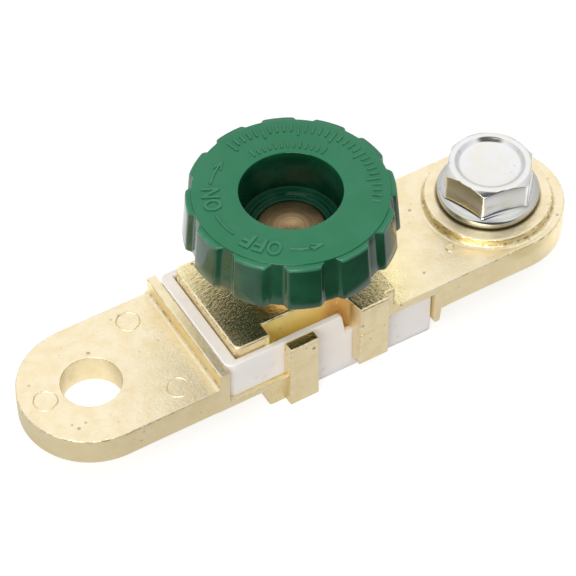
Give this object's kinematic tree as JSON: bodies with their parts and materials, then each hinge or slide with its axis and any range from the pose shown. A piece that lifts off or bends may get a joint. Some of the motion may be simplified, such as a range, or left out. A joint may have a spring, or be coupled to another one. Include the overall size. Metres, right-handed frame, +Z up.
{
  "type": "battery cut-off switch",
  "caption": "Battery cut-off switch: two cast lugs held apart by an insulator and joined by a fluted knob screw, with a bolted cable terminal.",
  "frame": {"origin": "on the axis of the link hole, in the plane of the link lug's underside", "axes": "+X along the switch towards the terminal bolt, +Z up along the knob's axis"},
  "size_m": [0.1013, 0.035, 0.0345],
  "materials": {
    "plated_casting": "pale yellow passivated plating",
    "nylon": "natural white",
    "turned_brass": "turned",
    "green_plastic": "glossy moulded",
    "bright_zinc": "bright zinc plated"
  },
  "bodies": {
    "plates": {"lower_plate": "plated_casting", "upper_plate": "plated_casting", "insulator": "nylon", "terminal_bolt": "bright_zinc"},
    "screw": {"contact_screw": "turned_brass"},
    "grip": {"knob": "green_plastic"}
  },
  "joints": [
    {"name": "screw_lift", "type": "slide", "parent": "plates", "child": "screw", "axis": [0, 0, 1], "range_m": [0, 0.003]},
    {"name": "knob_turn", "type": "hinge", "parent": "screw", "child": "grip", "pos_m": [0.03725, 0, 0.0155], "axis": [0, 0, 1], "range_deg": [0, 720]}
  ],
  "couplings": [
    {"joint": "knob_turn", "follows": "screw_lift", "rad_per_m": 4188.8}
  ]
}
